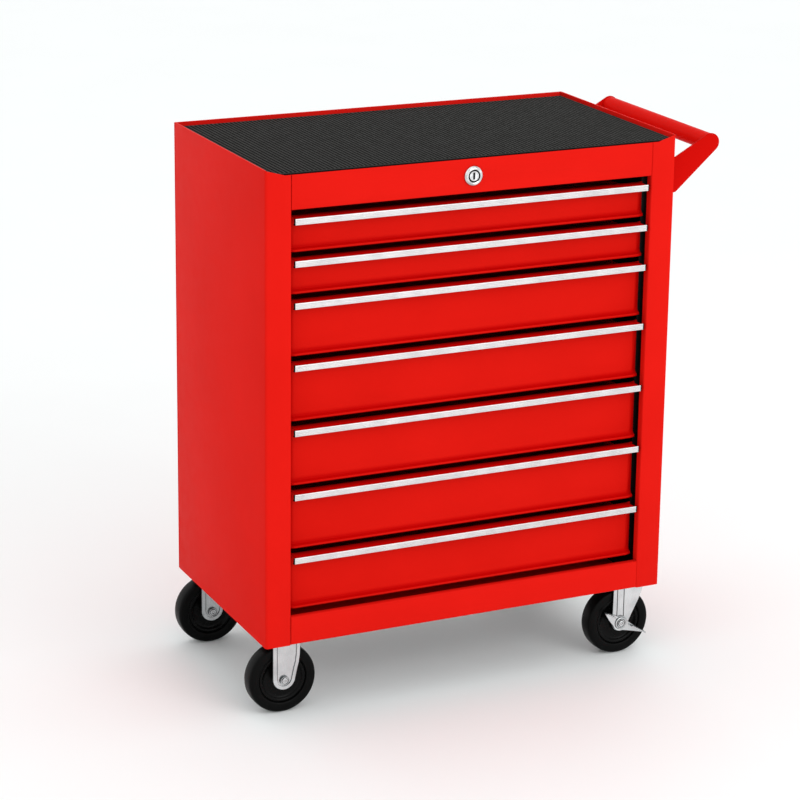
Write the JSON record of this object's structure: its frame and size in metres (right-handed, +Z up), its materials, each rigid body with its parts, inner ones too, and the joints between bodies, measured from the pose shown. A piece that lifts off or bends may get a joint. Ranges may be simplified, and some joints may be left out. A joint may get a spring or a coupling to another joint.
{
  "type": "rolling tool chest",
  "caption": "Red sheet steel tool chest on casters, with stacked sliding drawers, full-width metal pulls, a matted top tray, a central lock and a side push handle.",
  "frame": {"origin": "on the floor, under the centre of the whole object's bounding box, which includes the side handle and the left wheels", "axes": "+Z up, front (drawer pulls and lock) towards -Y, push handle towards +X"},
  "size_m": [0.69, 0.33, 0.75],
  "materials": {
    "red_paint": "gloss powder coat, bright red",
    "drawer_paint": "gloss powder coat, bright red",
    "pull_aluminium": "satin anodised, lightly ribbed",
    "mat_rubber": "ribbed matt black",
    "plated_steel": "zinc plated",
    "caster_steel": "bright zinc plated, pressed",
    "wheel_rubber": "smooth black",
    "lock_chrome": "polished"
  },
  "bodies": {
    "root": {"side_panel_left": "red_paint", "side_panel_right": "red_paint", "back_panel": "red_paint", "top_rail": "red_paint", "base_pan": "red_paint", "top_tray": "red_paint", "top_mat": "mat_rubber", "slide_rack_left": "plated_steel", "slide_rack_right": "plated_steel", "lock_housing": "lock_chrome", "handle_bracket_front": "red_paint", "handle_bracket_rear": "red_paint", "handle_grip": "red_paint", "rigid_front_fork": "caster_steel", "rigid_front_axle": "caster_steel", "rigid_rear_fork": "caster_steel", "rigid_rear_axle": "caster_steel", "swivel_front_plate": "caster_steel", "swivel_rear_plate": "caster_steel"},
    "drawer_1": {"drawer_1_body": "drawer_paint", "drawer_1_pull": "pull_aluminium", "drawer_1_slide_left": "plated_steel", "drawer_1_slide_right": "plated_steel"},
    "drawer_2": {"drawer_2_body": "drawer_paint", "drawer_2_pull": "pull_aluminium", "drawer_2_slide_left": "plated_steel", "drawer_2_slide_right": "plated_steel"},
    "drawer_3": {"drawer_3_body": "drawer_paint", "drawer_3_pull": "pull_aluminium", "drawer_3_slide_left": "plated_steel", "drawer_3_slide_right": "plated_steel"},
    "drawer_4": {"drawer_4_body": "drawer_paint", "drawer_4_pull": "pull_aluminium", "drawer_4_slide_left": "plated_steel", "drawer_4_slide_right": "plated_steel"},
    "drawer_5": {"drawer_5_body": "drawer_paint", "drawer_5_pull": "pull_aluminium", "drawer_5_slide_left": "plated_steel", "drawer_5_slide_right": "plated_steel"},
    "drawer_6": {"drawer_6_body": "drawer_paint", "drawer_6_pull": "pull_aluminium", "drawer_6_slide_left": "plated_steel", "drawer_6_slide_right": "plated_steel"},
    "drawer_7": {"drawer_7_body": "drawer_paint", "drawer_7_pull": "pull_aluminium", "drawer_7_slide_left": "plated_steel", "drawer_7_slide_right": "plated_steel"},
    "lock_plug": {"lock_cylinder": "lock_chrome", "lock_rod": "plated_steel"},
    "lock_bar": {"lock_bar": "plated_steel"},
    "rigid_front_wheel": {"rigid_front_wheel": "wheel_rubber"},
    "swivel_front_fork": {"swivel_front_fork": "caster_steel", "swivel_front_axle": "caster_steel"},
    "swivel_front_wheel": {"swivel_front_wheel": "wheel_rubber"},
    "swivel_front_brake": {"swivel_front_brake_lever": "caster_steel"},
    "rigid_rear_wheel": {"rigid_rear_wheel": "wheel_rubber"},
    "swivel_rear_fork": {"swivel_rear_fork": "caster_steel", "swivel_rear_axle": "caster_steel"},
    "swivel_rear_wheel": {"swivel_rear_wheel": "wheel_rubber"},
    "swivel_rear_brake": {"swivel_rear_brake_lever": "caster_steel"}
  },
  "joints": [
    {"name": "drawer_1_slide", "type": "slide", "parent": "root", "child": "drawer_1", "axis": [0, -1, 0], "range_m": [0, 0.225]},
    {"name": "drawer_2_slide", "type": "slide", "parent": "root", "child": "drawer_2", "axis": [0, -1, 0], "range_m": [0, 0.225]},
    {"name": "drawer_3_slide", "type": "slide", "parent": "root", "child": "drawer_3", "axis": [0, -1, 0], "range_m": [0, 0.225]},
    {"name": "drawer_4_slide", "type": "slide", "parent": "root", "child": "drawer_4", "axis": [0, -1, 0], "range_m": [0, 0.225]},
    {"name": "drawer_5_slide", "type": "slide", "parent": "root", "child": "drawer_5", "axis": [0, -1, 0], "range_m": [0, 0.225]},
    {"name": "drawer_6_slide", "type": "slide", "parent": "root", "child": "drawer_6", "axis": [0, -1, 0], "range_m": [0, 0.225]},
    {"name": "drawer_7_slide", "type": "slide", "parent": "root", "child": "drawer_7", "axis": [0, -1, 0], "range_m": [0, 0.225]},
    {"name": "lock_turn", "type": "hinge", "parent": "root", "child": "lock_plug", "pos_m": [-0.039, -0.161, 0.7197], "axis": [0, 1, 0], "range_deg": [0, 90]},
    {"name": "lock_bar_lift", "type": "slide", "parent": "root", "child": "lock_bar", "axis": [0, 0, 1], "range_m": [0, 0.0127]},
    {"name": "rigid_front_roll", "type": "hinge", "parent": "root", "child": "rigid_front_wheel", "pos_m": [-0.297, -0.126, 0.048], "axis": [0, 1, 0], "continuous": true},
    {"name": "rigid_rear_roll", "type": "hinge", "parent": "root", "child": "rigid_rear_wheel", "pos_m": [-0.297, 0.138, 0.048], "axis": [0, 1, 0], "continuous": true},
    {"name": "swivel_front_turn", "type": "hinge", "parent": "root", "child": "swivel_front_fork", "pos_m": [0.231, -0.126, 0.1], "axis": [0, 0, 1], "continuous": true},
    {"name": "swivel_front_roll", "type": "hinge", "parent": "swivel_front_fork", "child": "swivel_front_wheel", "pos_m": [0.216, -0.126, 0.048], "axis": [0, 1, 0], "continuous": true},
    {"name": "swivel_front_brake", "type": "hinge", "parent": "swivel_front_fork", "child": "swivel_front_brake", "pos_m": [0.216, -0.126, 0.048], "axis": [0, -1, 0], "range_deg": [0, 25]},
    {"name": "swivel_rear_turn", "type": "hinge", "parent": "root", "child": "swivel_rear_fork", "pos_m": [0.231, 0.138, 0.1], "axis": [0, 0, 1], "continuous": true},
    {"name": "swivel_rear_roll", "type": "hinge", "parent": "swivel_rear_fork", "child": "swivel_rear_wheel", "pos_m": [0.216, 0.138, 0.048], "axis": [0, 1, 0], "continuous": true},
    {"name": "swivel_rear_brake", "type": "hinge", "parent": "swivel_rear_fork", "child": "swivel_rear_brake", "pos_m": [0.216, 0.138, 0.048], "axis": [0, -1, 0], "range_deg": [0, 25]}
  ],
  "couplings": [
    {"joint": "lock_turn", "follows": "lock_bar_lift", "rad_per_m": 123.5}
  ]
}
